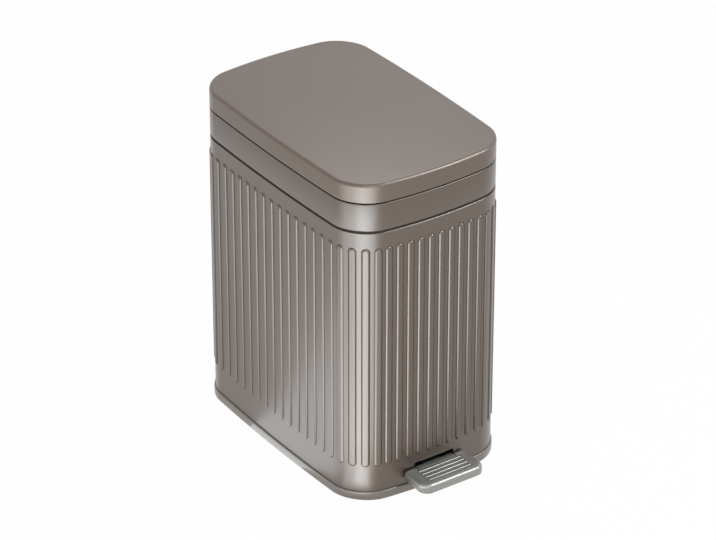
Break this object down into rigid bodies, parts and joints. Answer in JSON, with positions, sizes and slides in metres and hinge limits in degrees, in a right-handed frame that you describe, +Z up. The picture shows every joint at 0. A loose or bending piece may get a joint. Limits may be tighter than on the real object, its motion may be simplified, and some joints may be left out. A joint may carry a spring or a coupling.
{
  "type": "pedal bin",
  "caption": "Slim rectangular step bin with ribbed metal walls, a hinged lid, a foot pedal linked to it by a rod, and a lift-out bucket.",
  "frame": {"origin": "on the floor, under the middle of the whole object with its pedal and hinge", "axes": "+Z up, the pedal towards -Y, +X to the right as seen from the front"},
  "size_m": [0.2012, 0.3496, 0.37],
  "materials": {
    "bronze_metal": "satin metallic bronze paint",
    "bronze_plastic": "moulded, sprayed satin metallic bronze",
    "dark_plastic": "matt moulded",
    "satin_nickel": "satin nickel plate",
    "zinc_steel": "zinc plate",
    "bucket_plastic": "fine moulded texture",
    "rubber": "matt"
  },
  "bodies": {
    "bin": {"body_shell": "bronze_metal", "hinge_bracket": "bronze_metal", "base": "bronze_plastic", "collar": "bronze_plastic", "rod_guide_lower": "dark_plastic", "rod_guide_upper": "dark_plastic", "hinge_pin": "zinc_steel", "hinge_screw_left": "zinc_steel", "hinge_screw_right": "zinc_steel", "pedal_axle": "zinc_steel", "inner_bucket": "bucket_plastic", "foot_front_left": "rubber", "foot_front_right": "rubber", "foot_rear_left": "rubber", "foot_rear_right": "rubber"},
    "lid": {"lid_shell": "bronze_metal", "lid_liner": "dark_plastic", "lid_hinge_leaf": "bronze_metal", "leaf_screw_left": "zinc_steel", "leaf_screw_right": "zinc_steel", "lid_crank": "zinc_steel", "crank_pin": "zinc_steel", "crank_screw_left": "zinc_steel", "crank_screw_right": "zinc_steel", "lid_bumper_left": "rubber", "lid_bumper_right": "rubber"},
    "pedal": {"pedal_lever": "zinc_steel", "pedal_pad": "satin_nickel", "lever_pin": "zinc_steel", "pad_rivet_left": "zinc_steel", "pad_rivet_right": "zinc_steel"},
    "rod": {"push_rod": "zinc_steel"}
  },
  "joints": [
    {"name": "lid_hinge", "type": "hinge", "parent": "bin", "child": "lid", "pos_m": [0, 0.17025, 0.34855], "axis": [-1, 0, 0], "range_deg": [0, 80]},
    {"name": "pedal_pivot", "type": "hinge", "parent": "bin", "child": "pedal", "pos_m": [0, -0.10425, 0.0207], "axis": [1, 0, 0], "range_deg": [0, 7.21]},
    {"name": "rod_slide", "type": "slide", "parent": "bin", "child": "rod", "axis": [0, 0, 1], "range_m": [0, 0.03215]}
  ],
  "couplings": [
    {"joint": "pedal_pivot", "follows": "lid_hinge", "ratio": 0.090122},
    {"joint": "rod_slide", "follows": "lid_hinge", "m_per_rad": 0.023018}
  ]
}
